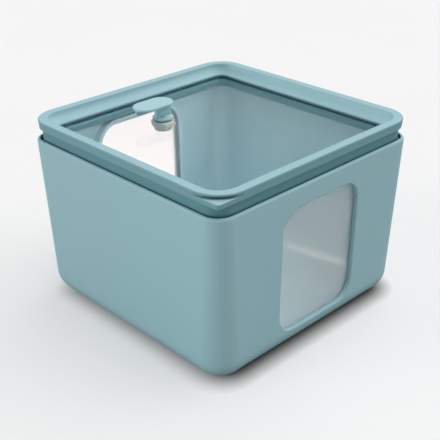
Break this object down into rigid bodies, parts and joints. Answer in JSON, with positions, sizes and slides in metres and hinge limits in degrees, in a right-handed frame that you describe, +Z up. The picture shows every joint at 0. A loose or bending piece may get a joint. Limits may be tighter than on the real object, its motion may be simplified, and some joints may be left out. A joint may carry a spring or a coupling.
{
  "type": "dough proofing container",
  "caption": "Square tapered proofing box with windows in two opposite walls and a lift-off framed clear lid with a corner lift tab and a turning air-vent lever.",
  "frame": {"origin": "middle of the footprint at the level that the box stands on", "axes": "+Z up; -Y out of the front window, the lid's lift tab over the corner between -X and -Y"},
  "size_m": [0.2436, 0.2436, 0.182],
  "materials": {
    "teal_shell": "satin moulded polypropylene",
    "teal_lid": "satin moulded polypropylene",
    "hazy_pane": "hazy translucent moulded pane",
    "clear_pane": "clear polished pane",
    "silicone": "matt moulded silicone",
    "white_nylon": "matt moulded nylon",
    "spring_steel": "plain spring steel"
  },
  "bodies": {
    "container": {"container_body": "teal_shell", "foot_pads": "silicone", "front_window_pane": "hazy_pane", "front_window_gasket": "silicone", "front_window_bezel": "teal_shell", "rear_window_pane": "hazy_pane", "rear_window_gasket": "silicone", "rear_window_bezel": "teal_shell"},
    "lid": {"lid_top_frame": "teal_lid", "lid_bottom_frame": "teal_lid", "lid_pane": "clear_pane", "lid_pane_gasket": "silicone", "lid_seal": "silicone", "vent_boss": "teal_lid", "vent_upper_washer": "silicone", "vent_lower_washer": "silicone", "vent_nut": "white_nylon"},
    "vent_lever": {"vent_lever": "teal_lid", "vent_spindle": "white_nylon", "vent_o_ring": "silicone", "vent_shutter": "white_nylon", "vent_shutter_seal": "silicone", "vent_retaining_clip": "spring_steel"}
  },
  "joints": [
    {"name": "lid_lift", "type": "slide", "parent": "container", "child": "lid", "axis": [0, 0, 1], "range_m": [0, 0.2]},
    {"name": "vent_turn", "type": "hinge", "parent": "lid", "child": "vent_lever", "pos_m": [-0.0194, 0.0551, 0.1645], "axis": [0, 0, 1], "range_deg": [0, 90]}
  ]
}
